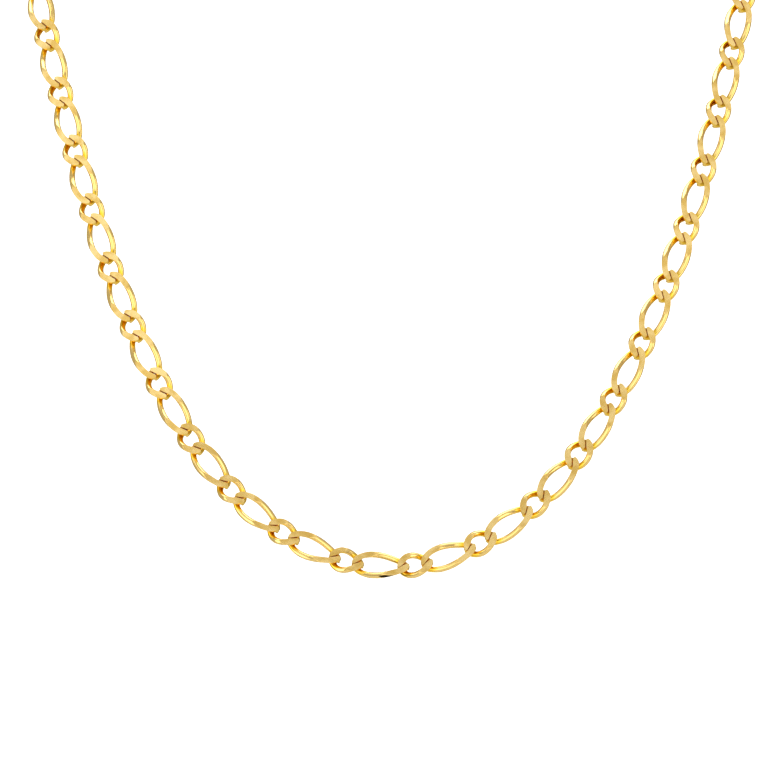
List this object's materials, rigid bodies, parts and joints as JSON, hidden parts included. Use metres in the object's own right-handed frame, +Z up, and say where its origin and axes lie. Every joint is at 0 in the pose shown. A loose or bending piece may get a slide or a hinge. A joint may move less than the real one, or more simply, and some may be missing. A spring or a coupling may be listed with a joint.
{
  "type": "figaro neck chain",
  "caption": "Gold figaro neck chain of twisted, ground wire links, long ovals and short round links in turn, closed at the nape by a clasp and jump rings.",
  "frame": {"origin": "the nape, where the back of the loop sits on the neck", "axes": "+Z up, -Y out of the front of the necklace towards its viewer, +X to the right of the picture"},
  "size_m": [0.1163, 0.1102, 0.1218],
  "materials": {
    "gold": "polished"
  },
  "bodies": {
    "root": {"chain_left": "gold", "chain_right": "gold", "clasp_ring": "gold", "clasp": "gold", "catch_ring": "gold"}
  },
  "joints": []
}
